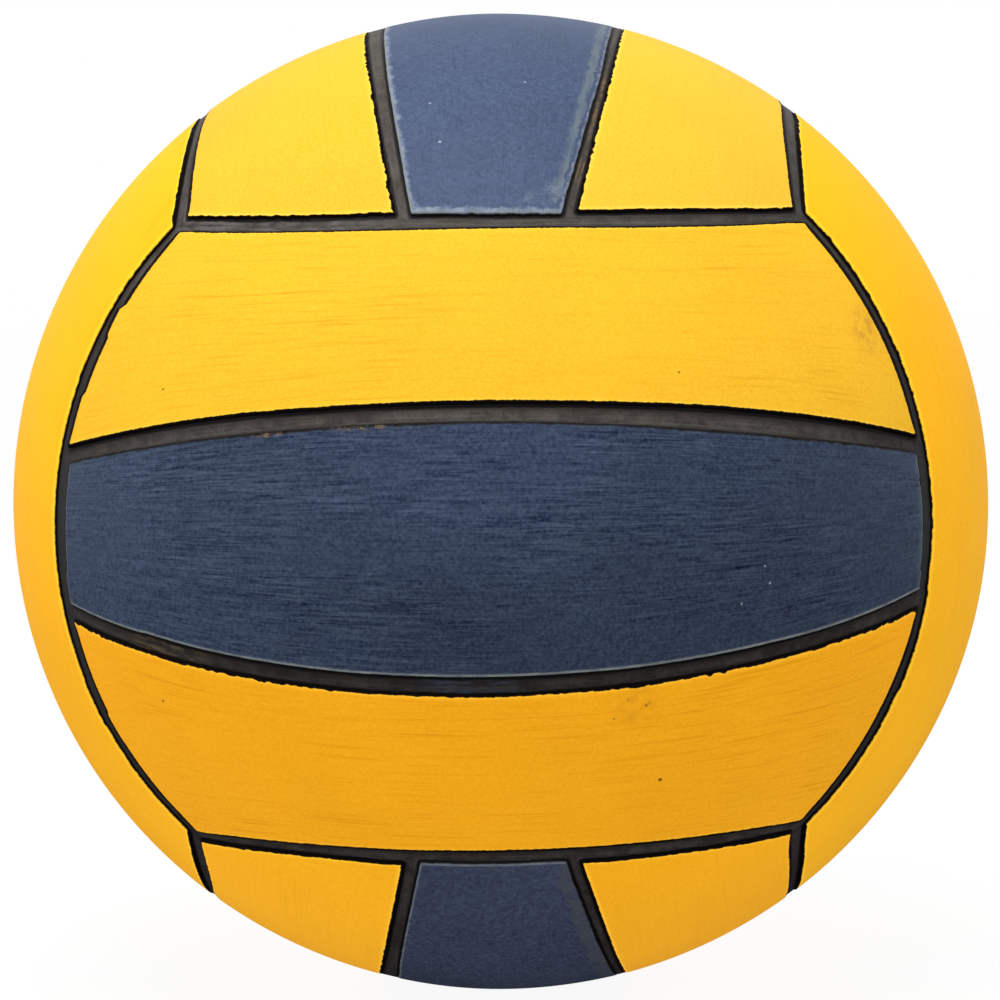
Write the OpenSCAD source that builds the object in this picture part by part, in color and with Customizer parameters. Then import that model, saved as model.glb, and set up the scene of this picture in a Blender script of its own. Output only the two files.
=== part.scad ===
// Water polo ball with a moulded rubber cover of 18 long panels, in six groups of three,
// over a thread-wound carcass with an air-tight bladder and a replaceable needle valve.
// Origin at the centre of the ball, +Z up. One group faces -Y, and the valve looks along +X.

/* [Ball] */
// Diameter over the panels
ball_d = 220; // [205:0.5:226]
// Width of the channels between the panels
channel_w = 4.0; // [2.5:0.1:5]
// Thickness of a cover panel, which is also the depth of the channels
panel_t = 0.7; // [0.6:0.1:1.4]
// Tilt of the two seams beside a centre panel, out of the group's mid plane, in degrees
seam_tilt = 13.88; // [11:0.01:17]
// The same tilt in the left and right groups, whose centre panels are narrower
side_tilt = 9.2; // [9:0.01:17]

/* [Layers under the panels] */
// Thickness of the black rubber layer that shows in the channels
base_t = 0.8; // [0.4:0.1:1.2]
// Thickness of the thread winding
winding_t = 0.45; // [0.3:0.05:0.9]
// Thickness of the bladder
bladder_t = 0.75; // [0.5:0.05:1.2]
// Bond line between two layers
bond = 0.05; // [0.02:0.01:0.1]

/* [Valve] */
// Diameter of the seat's collar, where it shows in the cover
collar_d = 11; // [9:0.5:14]
// Diameter of the seat's flange inside the bladder
flange_d = 32; // [24:1:40]
// Thickness of the flange
flange_t = 1.0; // [0.8:0.1:1.6]
// Diameter of the seat below the flange
pocket_d = 9.6; // [8.5:0.1:10.5]
// Depth of the seat, from the surface of the ball
pocket_l = 24; // [18:1:30]
// Diameter of the plug's head
head_d = 7.1; // [6.2:0.1:7.6]
// Height of the plug's head
head_h = 1.9; // [1.4:0.1:2.6]
// Diameter of the plug's shank
shank_d = 5.1; // [4.2:0.1:5.6]
// Clearance of the plug in its seat, on the radius
plug_fit = 0.05; // [0.02:0.01:0.1]
// Diameter of the hole that guides the needle
needle_d = 2.0; // [1.6:0.1:2.4]
// Depth of the needle hole, from the plug's face
needle_l = 17; // [10:1:20]
// How far the plug's face lies below the surface of the ball
plug_sink = 0.55; // [0.3:0.05:1.2]

/* [Colours] */
// Outer panels of each group
outer_colour = "#F7C331";
// Centre panel of each group
centre_colour = "#424D66";
// Rubber of the channels and the valve's seat
base_colour = "#33302D";

/* [Hidden] */
R = ball_d / 2;
// Polar angle at which neighbouring groups meet: all six groups are alike, so
// their corners are those of a cube and the angle is acos(1/sqrt(3)).
group_angle = acos(1 / sqrt(3));
// Half of a channel, seen from the centre
half_channel = asin(channel_w / 2 / R);
base_r = R - panel_t - bond;
winding_r = base_r - base_t - bond;
bladder_r = winding_r - winding_t - bond;
inner_r = bladder_r - bladder_t;
far = 1.05 * R;
eps = 0.01;
$fn = 180;

// ---- a group of panels, built facing +Z: strips run along X and stack along Y ----

// A cone from the centre of the ball that opens along +Z
module ray_cone(angle) {
    cylinder(h = far, r1 = 0, r2 = far * tan(angle));
}

// The sheet that every panel is cut from. Its poles lie along X, away from the group.
module cover_sheet() {
    rotate([0, 90, 0])
        difference() {
            sphere(r = R);
            sphere(r = R - panel_t);
        }
}

// Everything between the two seams beside the centre panel, half a channel short of each
module centre_wedge(tilt) {
    apex = channel_w / 2 / sin(tilt);
    half = (far - apex) * tan(tilt);
    rotate([90, 0, 90])
        linear_extrude(height = 2 * far, center = true)
            polygon([[0, apex], [half, far], [-half, far]]);
}

// Everything outside the +Y seam beside the centre panel, half a channel clear of it
module outer_wedge(tilt) {
    foot = channel_w / 2 / cos(tilt);
    rotate([90, 0, 90])
        linear_extrude(height = 2 * far, center = true)
            polygon([[foot, 0], [foot + far * tan(tilt), far], [far, far], [far, 0]]);
}

// The middle strip of a group
module centre_strip(tilt = seam_tilt) {
    intersection() {
        cover_sheet();
        ray_cone(group_angle - half_channel);
        centre_wedge(tilt);
    }
}

// The strip on the +Y side of the middle one
module outer_strip(tilt = seam_tilt) {
    difference() {
        intersection() {
            cover_sheet();
            ray_cone(group_angle - half_channel);
            outer_wedge(tilt);
        }
        rotate([-90, 0, 0]) ray_cone(group_angle + half_channel);
    }
}

// Turns for the six groups. In each, +Z goes to the group's face and +Y to "side".
module face_front()  { rotate([90, 0, 0]) children(); }                 // side: +Z
module face_back()   { rotate([0, 0, 180]) rotate([90, 0, 0]) children(); } // side: +Z
module face_top()    { rotate([0, 0, -90]) children(); }                // side: +X
module face_bottom() { rotate([0, 180, 0]) rotate([0, 0, 90]) children(); } // side: +X
module face_right()  { rotate([0, 90, 0]) children(); }                 // side: +Y
module face_left()   { rotate([0, -90, 0]) children(); }                // side: +Y

module mirrored_strip(tilt = seam_tilt) { mirror([0, 1, 0]) outer_strip(tilt); }

module centre() { color(centre_colour) children(); }
module outer() { color(outer_colour) children(); }

// ---- cover panels ----

module front_centre_panel() { centre() face_front() centre_strip(); }
module front_upper_panel() { outer() face_front() outer_strip(); }
module front_lower_panel() { outer() face_front() mirrored_strip(); }

module back_centre_panel() { centre() face_back() centre_strip(); }
module back_upper_panel() { outer() face_back() outer_strip(); }
module back_lower_panel() { outer() face_back() mirrored_strip(); }

module top_centre_panel() { centre() face_top() centre_strip(); }
module top_right_panel() { outer() face_top() outer_strip(); }
module top_left_panel() { outer() face_top() mirrored_strip(); }

module bottom_centre_panel() { centre() face_bottom() centre_strip(); }
module bottom_right_panel() { outer() face_bottom() outer_strip(); }
module bottom_left_panel() { outer() face_bottom() mirrored_strip(); }

module left_centre_panel() { centre() face_left() centre_strip(side_tilt); }
module left_back_panel() { outer() face_left() outer_strip(side_tilt); }
module left_front_panel() { outer() face_left() mirrored_strip(side_tilt); }

// The valve's collar comes out through the middle of this panel.
module right_centre_panel() {
    centre()
        difference() {
            face_right() centre_strip(side_tilt);
            through_valve(collar_d / 2 + bond);
        }
}
module right_back_panel() { outer() face_right() outer_strip(side_tilt); }
module right_front_panel() { outer() face_right() mirrored_strip(side_tilt); }

// ---- layers, which are full spheres with one hole, where the valve's seat goes through ----

// A straight hole of radius r from inside the bladder out along +X
module through_valve(r) {
    translate([0.8 * R, 0, 0]) rotate([0, 90, 0]) cylinder(h = 0.25 * R, r = r);
}

module layer(outside, thickness) {
    difference() {
        rotate([0, 0, 180]) sphere(r = outside);
        rotate([0, 0, 180]) sphere(r = outside - thickness);
        through_valve(collar_d / 2 + bond);
    }
}

module channel_layer() { color(base_colour) layer(base_r, base_t); }
module thread_winding() { color("#D9D3C2") layer(winding_r, winding_t); }
module bladder() { color("#1F1E1E") layer(bladder_r, bladder_t); }

// ---- valve, turned so that its own +Z is the ball's +X ----

head_z = R - plug_sink;               // face of the plug
shoulder_z = head_z - head_h;         // underside of the plug's head
floor_z = R - pocket_l;               // lowest point of the seat
socket_z = floor_z + 1.6;             // floor of the socket

module valve_seat() {
    color(base_colour)
        rotate([0, 90, 0])
            difference() {
                union() {
                    // flange, curved to lie on the inside of the bladder
                    intersection() {
                        difference() {
                            sphere(r = inner_r - bond);
                            sphere(r = inner_r - bond - flange_t);
                        }
                        translate([0, 0, 0.8 * R]) cylinder(h = 0.25 * R, d = flange_d);
                    }
                    // collar, with its top curved flush with the cover
                    intersection() {
                        sphere(r = R - 0.15);
                        translate([0, 0, inner_r - bond - flange_t - 1.2])
                            cylinder(h = 0.1 * R, d = collar_d);
                    }
                    // pocket that hangs inside the bladder, with a bevelled foot
                    rotate_extrude()
                        polygon([[0, floor_z], [pocket_d / 2 - 0.8, floor_z],
                                 [pocket_d / 2, floor_z + 0.8],
                                 [pocket_d / 2, inner_r - flange_t], [0, inner_r - flange_t]]);
                }
                // stepped socket for the plug, with the needle's way out below it
                translate([0, 0, shoulder_z - plug_fit]) cylinder(h = 5, d = head_d + 2 * plug_fit);
                translate([0, 0, socket_z]) cylinder(h = R, d = shank_d + 2 * plug_fit);
                translate([0, 0, floor_z - 1]) cylinder(h = 5, d = 2.6);
            }
}

module valve_plug() {
    color("#2A2828")
        rotate([0, 90, 0])
            difference() {
                rotate_extrude()
                    polygon([[0, socket_z + plug_fit], [shank_d / 2 - 0.7, socket_z + plug_fit],
                             [shank_d / 2, socket_z + plug_fit + 1.2],
                             [shank_d / 2, shoulder_z], [head_d / 2, shoulder_z],
                             [head_d / 2, head_z - 0.35], [head_d / 2 - 0.35, head_z], [0, head_z]]);
                // blind needle hole: the rubber left below it closes itself again
                translate([0, 0, head_z - needle_l]) cylinder(h = needle_l + 1, d = needle_d);
                // lead-in that centres the needle
                translate([0, 0, head_z - 0.8]) cylinder(h = 0.8 + eps, d1 = needle_d - eps, d2 = needle_d + 1.6);
            }
}

front_centre_panel();
front_upper_panel();
front_lower_panel();
back_centre_panel();
back_upper_panel();
back_lower_panel();
right_centre_panel();
right_front_panel();
right_back_panel();
left_centre_panel();
left_front_panel();
left_back_panel();
top_centre_panel();
top_left_panel();
top_right_panel();
bottom_centre_panel();
bottom_left_panel();
bottom_right_panel();
channel_layer();
thread_winding();
bladder();
valve_seat();
valve_plug();
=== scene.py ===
"""Looks of the water polo ball: moulded cover panels, the channels between them, and the valve.

Lengths in the mesh code are millimetres, and become metres when a mesh is made.
"""
import math

import bpy
import numpy as np
from mathutils import Matrix, Vector


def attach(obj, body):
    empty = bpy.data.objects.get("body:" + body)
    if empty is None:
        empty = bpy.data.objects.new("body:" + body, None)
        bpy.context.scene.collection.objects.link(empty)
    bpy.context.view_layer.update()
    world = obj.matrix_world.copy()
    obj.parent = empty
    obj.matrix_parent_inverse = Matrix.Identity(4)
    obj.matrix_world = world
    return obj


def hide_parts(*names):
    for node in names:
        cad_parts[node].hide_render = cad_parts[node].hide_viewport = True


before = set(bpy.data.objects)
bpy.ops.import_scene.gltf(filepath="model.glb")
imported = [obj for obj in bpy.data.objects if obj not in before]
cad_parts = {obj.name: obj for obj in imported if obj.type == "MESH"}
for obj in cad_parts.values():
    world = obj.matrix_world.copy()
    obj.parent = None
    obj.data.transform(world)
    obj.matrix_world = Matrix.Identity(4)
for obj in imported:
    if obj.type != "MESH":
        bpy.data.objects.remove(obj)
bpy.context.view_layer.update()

MM = 0.001

# ---------------------------------------------------------------- the ball's geometry

R = 110.0
PANEL = 0.7                                  # thickness of a cover panel
BASE_R = 109.25                              # surface of the black layer
HALF = math.asin(2.0 / R)                    # half a channel, seen from the centre
GROUP = math.acos(1 / math.sqrt(3))          # polar angle at which groups meet
# tilt of the seams beside a centre panel
TILT = {g: math.radians(9.2 if g in ("left", "right") else 13.88)
        for g in ("front", "back", "top", "bottom", "right", "left")}

# columns of each matrix: where a group's own length, stack and outward axes point
TURN = {
    "front": ((1, 0, 0), (0, 0, -1), (0, 1, 0)),
    "back": ((-1, 0, 0), (0, 0, 1), (0, 1, 0)),
    "top": ((0, 1, 0), (-1, 0, 0), (0, 0, 1)),
    "bottom": ((0, 1, 0), (1, 0, 0), (0, 0, -1)),
    "right": ((0, 0, 1), (0, 1, 0), (-1, 0, 0)),
    "left": ((0, 0, -1), (0, 1, 0), (1, 0, 0)),
}
TURN = {k: np.array(v, float) for k, v in TURN.items()}
# the way the photograph looks at the ball
YAW, EL = math.radians(1.679), math.radians(4.993)
VIEW = np.array([math.sin(YAW) * math.cos(EL), -math.cos(YAW) * math.cos(EL), math.sin(EL)])
NAMES = {
    "front": ("lower", "upper"), "back": ("lower", "upper"), "top": ("left", "right"),
    "bottom": ("left", "right"), "right": ("front", "back"), "left": ("front", "back"),
}


def hash01(*keys):
    """Repeatable numbers from 0 to 1 for integer arrays."""
    x = np.zeros(np.broadcast(*keys).shape, np.uint64) + np.uint64(0x9E3779B97F4A7C15)
    for k in keys:
        x = x ^ (np.asarray(k).astype(np.int64).astype(np.uint64) * np.uint64(0xBF58476D1CE4E5B9))
        x = (x ^ (x >> np.uint64(29))) * np.uint64(0x94D049BB133111EB)
        x = x ^ (x >> np.uint64(32))
    return (x >> np.uint64(11)).astype(float) / float(1 << 53)


def wander(t, pitch, seed, sharp=1.0):
    """Smooth noise from -1 to 1 along a line, with steps a pitch apart; sharp > 1 makes them abrupt."""
    x = np.asarray(t, float) / pitch
    i = np.floor(x)
    f = x - i
    f = np.clip((f - 0.5) * sharp + 0.5, 0, 1)
    f = f * f * (3 - 2 * f)
    a, b = hash01(i, np.full_like(i, seed)), hash01(i + 1, np.full_like(i, seed))
    return 2 * (a + (b - a) * f) - 1


class Edge:
    """A side of a panel: the distance in mm from it, inward, is R asin(axis . u) + off."""

    def __init__(self, axis, off):
        self.axis, self.off = np.array(axis, float), off

    def at(self, u, shift=0.0):
        x = u @ self.axis
        d = R * np.arcsin(np.clip(x, -1, 1)) + self.off - shift
        g = (self.axis - x[:, None] * u) / np.sqrt(np.maximum(1 - x * x, 1e-9))[:, None]
        return d, g


END = Edge((0, 0, 1), R * (GROUP - HALF - math.pi / 2))


def long_sides(kind, tilt):
    """The two long sides of a strip: the one towards the group's -side, then the other."""
    c, s = math.cos(tilt), math.sin(tilt)
    if kind == "centre":
        return Edge((0, c, s), -2.0), Edge((0, -c, s), -2.0)
    return Edge((0, c, -s), -2.0), Edge((0, -1, 0), R * (math.pi / 2 - GROUP - HALF))


def fillet(d1, g1, d2, g2, r):
    """Distance to a corner of two edges rounded to radius r, and its gradient."""
    c = np.clip((g1 * g2).sum(1), -0.95, 0.95)
    x1, x2 = r - d1, r - d2
    inside = (x1 > c * x2) & (x2 > c * x1)
    k = 1 - c * c
    dist = np.sqrt(np.maximum((x1 * x1 + x2 * x2 - 2 * c * x1 * x2) / k, 1e-12))
    a, b = (-x1 + c * x2) / k, (-x2 + c * x1) / k
    gr = -(a[:, None] * g1 + b[:, None] * g2) / dist[:, None]
    near = d1 < d2
    d = np.where(inside, r - dist, np.where(near, d1, d2))
    g = np.where(inside[:, None], gr, np.where(near[:, None], g1, g2))
    return d, g


class Outline:
    """The four rounded-off sides of one panel, in its group's own axes.

    warp gives each side ("A", "B", "L", "R") a slow wave in mm, as a range and the coefficients of a
    polynomial of the position along the side, scaled to -1..1 and held beyond the range. radii rounds
    the corners AL, AR, BL and BR. jogs are steps in a side: (side, from, to, mm there, mm at the end).
    swell widens the panel on a side by some mm.
    """

    def __init__(self, kind, side, tilt, warp, radii, jogs=(), swell=None):
        self.a, self.b = long_sides(kind, tilt)
        self.kind, self.side = kind, side
        self.warp, self.radii, self.jogs, self.swell = warp, radii, jogs, swell or {}

    def shift(self, which, u):
        t = u[:, 0] / 0.8 if which in "AB" else (u[:, 1] if self.kind == "centre" else u[:, 1] - 0.35) / 0.25
        (start, end), p = self.warp.get(which, ((0, 1), [0.0]))
        d = np.polynomial.polynomial.polyval(np.clip(t, start, end), p) - self.swell.get(which, 0.0)
        soft = 0.012 if which in "AB" else 0.036
        for side, start, end, d0, d1 in self.jogs:
            if side == which:
                there = np.clip((t - start) / soft + 0.5, 0, 1) * np.clip((end - t) / soft + 0.5, 0, 1)
                d = d + there * (d0 + (d1 - d0) * np.clip((t - start) / (end - start), 0, 1))
        return d

    def sides(self, u):
        left = u[:, 0] < 0
        end = np.where(left, self.shift("L", u) + np.zeros(len(u)), self.shift("R", u) + np.zeros(len(u)))
        return self.a.at(u, self.shift("A", u)), self.b.at(u, self.shift("B", u)), END.at(u, end), left

    def at(self, u):
        (da, ga), (db, gb), (de, ge), left = self.sides(u)
        ra = np.where(left, self.radii["AL"], self.radii["AR"])
        rb = np.where(left, self.radii["BL"], self.radii["BR"])
        d1, g1 = fillet(da, ga, de, ge, ra)
        d2, g2 = fillet(db, gb, de, ge, rb)
        m = d1 < d2
        return np.where(m, d1, d2), np.where(m[:, None], g1, g2)

    def to_level(self, u, level, steps=5):
        """u moved square to the outline until it is level mm inside it."""
        for _ in range(steps):
            d, g = self.at(u)
            u = u + ((level - d) / R)[:, None] * g
            u /= np.linalg.norm(u, axis=1)[:, None]
        return u


def sphere_point(lam, psi):
    return np.stack([np.sin(lam), np.cos(lam) * np.sin(psi), np.cos(lam) * np.cos(psi)], -1)


def inner_grid(o, inset, nu, nv, only=None):
    """A grid of nu x nv directions that fills the outline, inset mm inside it, or only some of its points."""
    v = np.linspace(0, 1, nv)

    def psi_of(lam, v):
        lo, hi = np.full(lam.shape, -0.95), np.full(lam.shape, 1.05)
        for _ in range(34):
            mid = (lo + hi) / 2
            u = sphere_point(lam, mid).reshape(-1, 3)
            da, db = o.a.at(u, o.shift("A", u))[0], o.b.at(u, o.shift("B", u))[0]
            f = ((1 - v).ravel() * (da - inset) - v.ravel() * (db - inset)).reshape(lam.shape)
            lo, hi = np.where(f < 0, mid, lo), np.where(f < 0, hi, mid)
        return (lo + hi) / 2

    ends = []
    for sign in (-1, 1):
        lo, hi = np.zeros(nv), np.full(nv, 1.2)
        for _ in range(34):
            mid = (lo + hi) / 2
            u = sphere_point(sign * mid, psi_of(sign * mid, v))
            d = END.at(u, o.shift("L" if sign < 0 else "R", u))[0] - inset
            lo, hi = np.where(d > 0, mid, lo), np.where(d > 0, hi, mid)
        ends.append(sign * (lo + hi) / 2)
    xi = np.linspace(0, 1, nu)
    lam = ends[0][None] * (1 - xi[:, None]) + ends[1][None] * xi[:, None]
    v = np.broadcast_to(v, lam.shape)
    if only is not None:
        lam, v = lam.ravel()[only], v.ravel()[only]
    return sphere_point(lam, psi_of(lam, v))


def ring_of(nu, nv):
    """Indices of a grid's border, anticlockwise seen from outside, and where its four sides start."""
    i = np.arange(nu * nv).reshape(nu, nv)
    ring = np.concatenate([i[:, 0], i[-1, 1:], i[-2::-1, -1], i[0, -2:0:-1]])
    return ring, (0, nu - 1, nu + nv - 2, 2 * nu + nv - 3)


def relax(g, times, keep):
    """Evens out a grid's inner points, between borders that stay."""
    for _ in range(times):
        m = (g[:-2, 1:-1] + g[2:, 1:-1] + g[1:-1, :-2] + g[1:-1, 2:]) / 4
        m /= np.linalg.norm(m, axis=-1, keepdims=True)
        inner = g[1:-1, 1:-1]
        g[1:-1, 1:-1] = np.where(keep[1:-1, 1:-1, None], inner, m)
    return g


def strip_quads(outer, inner):
    """Quads between two closed rings of equal count; outer is the one further from the middle."""
    return np.stack([outer, np.roll(outer, -1), np.roll(inner, -1), inner], 1)


def zip_rings(fine, f_starts, coarse, c_starts):
    """Triangles between two closed rings of different counts, whose sides start together."""
    out = []
    nf, nc = len(fine), len(coarse)
    f_starts, c_starts = list(f_starts) + [nf + f_starts[0]], list(c_starts) + [nc + c_starts[0]]
    for k in range(len(f_starts) - 1):
        i, j, ie, je = f_starts[k], c_starts[k], f_starts[k + 1], c_starts[k + 1]
        i0, j0 = i, j
        while i < ie or j < je:
            ti = (i + 1 - i0) / (ie - i0) if i < ie else 9
            tj = (j + 1 - j0) / (je - j0) if j < je else 9
            if ti <= tj:
                out.append((coarse[j % nc], fine[(i + 1) % nf], fine[i % nf]))
                i += 1
            else:
                out.append((coarse[j % nc], coarse[(j + 1) % nc], fine[i % nf]))
                j += 1
    return np.array(out)


def grid_quads(nu, nv, skip=None):
    i = np.arange(nu * nv).reshape(nu, nv)
    q = np.stack([i[:-1, :-1], i[1:, :-1], i[1:, 1:], i[:-1, 1:]], -1)
    if skip is not None:
        return q[~skip]
    return q.reshape(-1, 4)


def make_mesh(name, points, quads, tris, attrs, flip=False):
    """A smooth-shaded mesh object from arrays, in metres."""
    quads = np.asarray(quads, np.int32).reshape(-1, 4)
    tris = np.asarray(tris, np.int32).reshape(-1, 3)
    if flip:
        quads, tris = quads[:, ::-1], tris[:, ::-1]
    used = np.zeros(len(points), bool)
    used[quads.ravel()] = True
    used[tris.ravel()] = True
    new = np.cumsum(used) - 1
    quads, tris = new[quads], new[tris]
    points = np.asarray(points)[used]
    me = bpy.data.meshes.new(name)
    me.vertices.add(len(points))
    me.vertices.foreach_set("co", (points * MM).astype(np.float32).ravel())
    loops = np.concatenate([quads.ravel(), tris.ravel()]).astype(np.int32)
    me.loops.add(len(loops))
    me.loops.foreach_set("vertex_index", loops)
    total = np.concatenate([np.full(len(quads), 4), np.full(len(tris), 3)])
    start = np.concatenate([[0], np.cumsum(total)[:-1]]).astype(np.int32)
    me.polygons.add(len(total))
    me.polygons.foreach_set("loop_start", start)
    me.update(calc_edges=True)
    me.validate()
    me.polygons.foreach_set("use_smooth", np.ones(len(me.polygons), bool))
    for key, values in attrs.items():
        values = np.asarray(values, np.float32)[used]
        a = me.attributes.new(key, "FLOAT", "POINT")
        a.data.foreach_set("value", values)
    ob = bpy.data.objects.new(name, me)
    bpy.context.scene.collection.objects.link(ob)
    return ob


# ---------------------------------------------------------------- cover panels

# profile of a panel's rim, outward from its face: (mm inside the outline, height above R)
ROUND = 0.36
RIM = [(1.0, 0), (0.8, 0), (0.62, 0)] + [
    (ROUND * (1 - math.sin(t)), ROUND * (math.cos(t) - 1)) for t in np.radians([0, 18, 36, 52, 66, 78, 90])
] + [(-0.01, -0.45), (-0.03, -0.56), (-0.08, -0.64), (-0.18, -PANEL)]
INSET = 1.2


def panel_mesh(name, group, pitch, o, rag, bands, lines, wall_shade, low=0.0, hole=None, seed=0):
    """One cover panel, with its rounded rim, ragged trim line, walls and underside."""
    kind, side = o.kind, o.side
    length, width = (204, 46) if kind == "centre" else (190, 40)
    nu, nv = int(length / pitch) | 1, int(width / pitch) | 1
    g = inner_grid(o, INSET, nu, nv)
    ring, starts = ring_of(nu, nv)
    flat = g.reshape(-1, 3)
    flat[ring] = o.to_level(flat[ring], INSET, 8)
    g = flat.reshape(nu, nv, 3)
    keep = np.zeros((nu, nv), bool)
    keep[int(nu * 0.2): int(nu * 0.8)] = True
    g = relax(g, 60, keep)
    flat = g.reshape(-1, 3)

    dirs, height, rim = [flat], [np.zeros(len(flat))], [o.at(flat)[0]]
    # how far the trim line is cut back at each point of the ring: rag[side] = (depth, pitch, sharpness)
    border = flat[ring]
    (da, _), (db, _), (de, _), left = o.sides(o.to_level(border, 0.0))
    which = np.argmin(np.stack([da, db, de]), 0)
    along = np.where(which < 2, R * np.arcsin(border[:, 0]), R * border[:, 1])
    key = np.where(which == 0, 0, np.where(which == 1, 1, np.where(left, 2, 3)))
    cut = np.zeros(len(ring))
    for k, s in enumerate("ABLR"):
        depth, step, sharp = rag.get(s, (0.05, 2.5, 1.0))
        n = 0.62 * wander(along, step, 11 * seed + k, sharp) + 0.38 * wander(along + 7.3, step * 0.43, 11 * seed + k + 50, sharp)
        slow = 0.6 + 0.4 * wander(along, step * 9, 11 * seed + k + 90)
        wave = 0.10 * wander(along, 14.0, 11 * seed + k + 70)
        c = depth * slow * np.clip(n + 0.15, -0.15, 1) + wave + 0.03 * wander(along, 0.9, 11 * seed + k + 30)
        cut = np.where(key == k, c, cut)
    cut = (np.roll(cut, 1) + 4 * cut + np.roll(cut, -1)) / 6
    last, quads, tris = ring, [grid_quads(nu, nv)], []
    count = len(flat)
    sharp_ring = inner_grid(o, 0.0, nu, nv, ring)
    for level, h in RIM:
        fade = 1 - np.clip((level - 0.45) / 0.7, 0, 1)
        w = min((INSET - level) / INSET, 1.0)
        u = border * (1 - w) + sharp_ring * w
        u /= np.linalg.norm(u, axis=1)[:, None]
        # a height this far down follows the face's edge with less of its raggedness
        u = o.to_level(u, level + cut * fade * (1.0 if h > -0.4 else 0.75), 4)
        dirs.append(u)
        height.append(np.full(len(u), float(h)))
        rim.append(np.full(len(u), level) if h == 0 else np.full(len(u), level + 1.2 * h if h < -0.4 else level + 0.6 * h))
        now = np.arange(count, count + len(u))
        quads.append(strip_quads(now, last))
        last, count = now, count + len(u)
    # underside: a coarse grid, on the inside of the sheet
    cu, cv = 61, 15
    co = Outline(kind, side, TILT[group], o.warp, {k: 1.0 for k in o.radii}, (), o.swell)
    cg = inner_grid(co, 1.6, cu, cv).reshape(-1, 3)
    under = np.arange(count, count + len(cg))
    c_ring, c_starts = ring_of(cu, cv)
    tris.append(zip_rings(last, starts, under[c_ring], c_starts))
    dirs.append(cg)
    height.append(np.full(len(cg), -PANEL))
    rim.append(np.full(len(cg), -1.5))
    count += len(cg)
    under_skip = None
    if hole:
        count = bore(o, hole, nu, nv, cu, cv, under, dirs, height, rim, quads, tris, count, flat, cg)
    else:
        quads.append(under[grid_quads(cu, cv)][:, ::-1])

    u = np.concatenate(dirs)
    h = np.concatenate(height)
    rim = np.concatenate(rim)
    (da, _), (db, _), (de, _), left = o.sides(u)
    row = (da + 2) / (da + db + 4) * (50 if kind == "centre" else 42)
    # width of the border that the buffing left untouched, by the nearest side
    w = 1 / np.maximum(np.stack([da, db, np.where(left, de, 99), np.where(left, 99, de)]), 0.15) ** 3
    w /= w.sum(0)
    band = (w * np.array([bands.get(k, 0.35) for k in "ABLR"])[:, None]).sum(0)
    line = (w * np.array([lines.get(k, 0.3) for k in "ABLR"])[:, None]).sum(0)
    black = (w * np.array([wall_shade.get(k, 0.0) for k in "ABLR"])[:, None]).sum(0)
    run = R * np.arcsin(np.clip(u[:, 0], -1, 1))
    if side < 0:
        u = u * np.array([1, -1, 1.0])
    lie = np.where(h >= -0.4, 1.0, 0.0)
    swell = 0.035 * np.sin(u[:, 0] * 9 + seed) * np.cos(u[:, 1] * 13 + 2 * seed)
    points = (u * (R + h + lie * (swell - 0.035 - low))[:, None]) @ TURN[group].T
    tris = np.concatenate(tris) if tris else np.zeros((0, 3), int)
    return make_mesh(name, points, np.concatenate(quads), tris,
                     {"run": run, "row": row, "rim": rim, "band": band, "line": line, "beside": w[1], "wall_shade": black},
                     flip=side < 0)


def bore(o, radius, nu, nv, cu, cv, under, dirs, height, rim, quads, tris, count, flat, cg):
    """Cuts a round hole through the middle of a panel: a square of cells gives way to rings."""

    def block(n, m, points, half):
        """Cells of a grid whose points all lie within half mm of the middle, as a square."""
        p = points.reshape(n, m, 3)
        i = np.where(np.abs(R * p[:, m // 2, 0]) < half)[0]
        j = np.where(np.abs(R * p[n // 2, :, 1]) < half)[0]
        return i[0], i[-1], j[0], j[-1]

    def frame_ring(n, m, b):
        i0, i1, j0, j1 = b
        idx = np.arange(n * m).reshape(n, m)
        sub = idx[i0:i1 + 1, j0:j1 + 1]
        r, s = ring_of(*sub.shape)
        return sub.ravel()[r]

    b = block(nu, nv, flat, radius + 2.2)
    skip = np.zeros((nu - 1, nv - 1), bool)
    skip[b[0]:b[1], b[2]:b[3]] = True
    quads[0] = grid_quads(nu, nv, skip)
    ring = frame_ring(nu, nv, b)
    ang = np.arctan2(flat[ring, 1], flat[ring, 0])
    square = np.hypot(flat[ring, 0], flat[ring, 1]) * R
    last = ring
    rounded = 0.32
    steps = [(0.8, 0, 0.75), (0.6, 0, 0.45), (0.5, 0, 0.25), (0.42, 0, 0.1)] + [
        (rounded * (1 - math.sin(t)), rounded * (math.cos(t) - 1), 0.0) for t in np.radians([0, 20, 40, 58, 75, 90])
    ] + [(0, -0.5, 0), (0, -PANEL, 0)]
    for out, h, blend in steps:
        rad = radius + out
        rr = blend * square + (1 - blend) * rad
        x, y = rr * np.cos(ang) / R, rr * np.sin(ang) / R
        u = np.stack([x, y, np.sqrt(1 - x * x - y * y)], 1)
        dirs.append(u)
        height.append(np.full(len(u), float(h)))
        rim.append(np.full(len(u), (rr.mean() - radius) if h == 0 else h))
        now = np.arange(count, count + len(u))
        quads.append(strip_quads(last, now))
        last, count = now, count + len(u)
    cb = block(cu, cv, cg, radius + 2.5)
    skip = np.zeros((cu - 1, cv - 1), bool)
    skip[cb[0]:cb[1], cb[2]:cb[3]] = True
    quads.append(under[grid_quads(cu, cv, skip)][:, ::-1])
    c_ring = frame_ring(cu, cv, cb)
    tris.append(zip_by_angle(last, ang, under[c_ring], np.arctan2(cg[c_ring, 1], cg[c_ring, 0])))
    return count


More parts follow.
